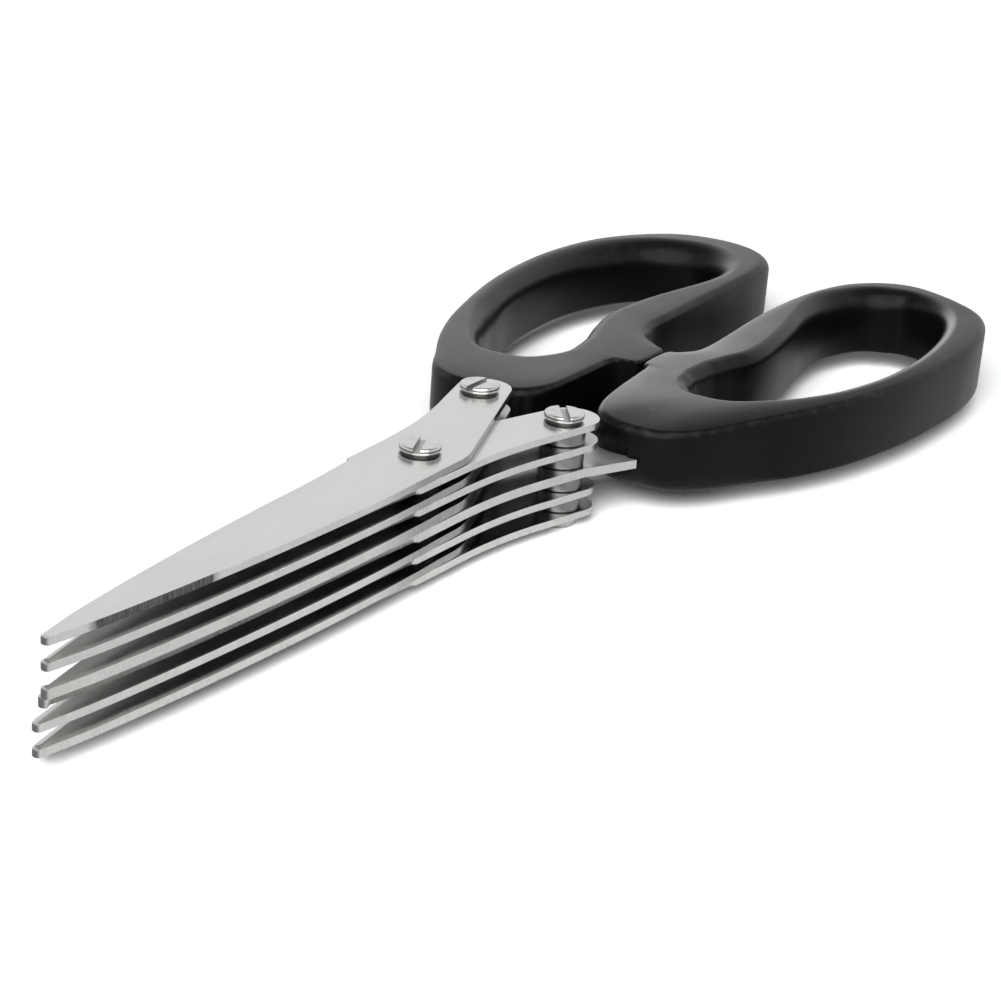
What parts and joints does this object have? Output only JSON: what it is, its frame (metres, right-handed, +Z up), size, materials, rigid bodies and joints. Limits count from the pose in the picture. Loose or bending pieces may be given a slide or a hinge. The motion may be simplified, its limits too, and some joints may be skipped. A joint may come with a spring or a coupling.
{
  "type": "herb scissors",
  "caption": "Multi-blade herb scissors: stacked steel blades on a slotted pivot screw, spaced by round collars, with black plastic finger loops.",
  "frame": {"origin": "on the pivot screw's axis, in the plane that the undersides of the three nuts rest on", "axes": "+X from the pivot to the blade tips, +Y to the side of handle_b, +Z up along the pivot screw to its slotted head"},
  "size_m": [0.2068, 0.0761, 0.0169],
  "materials": {
    "blade_steel": "fine matt grain along the blade, ground edges",
    "fastener_steel": "bright turned steel",
    "handle_plastic": "satin black, slightly worn"
  },
  "bodies": {
    "set_b": {"blade_b_1": "blade_steel", "blade_b_2": "blade_steel", "blade_b_3": "blade_steel", "blade_b_4": "blade_steel", "blade_b_5": "blade_steel", "pivot_screw": "fastener_steel", "pivot_nut": "fastener_steel", "pivot_washer_1": "fastener_steel", "pivot_washer_2": "fastener_steel", "pivot_washer_3": "fastener_steel", "pivot_washer_4": "fastener_steel", "screw_b": "fastener_steel", "nut_b": "fastener_steel", "spacer_b_1": "fastener_steel", "spacer_b_2": "fastener_steel", "spacer_b_3": "fastener_steel", "spacer_b_4": "fastener_steel", "handle_b": "handle_plastic"},
    "set_a": {"blade_a_1": "blade_steel", "blade_a_2": "blade_steel", "blade_a_3": "blade_steel", "blade_a_4": "blade_steel", "blade_a_5": "blade_steel", "screw_a": "fastener_steel", "nut_a": "fastener_steel", "spacer_a_1": "fastener_steel", "spacer_a_2": "fastener_steel", "spacer_a_3": "fastener_steel", "spacer_a_4": "fastener_steel", "handle_a": "handle_plastic"}
  },
  "joints": [
    {"name": "pivot", "type": "hinge", "parent": "set_b", "child": "set_a", "pos_m": [0, 0, 0.0086], "axis": [0, 0, 1], "range_deg": [0, 60]}
  ]
}
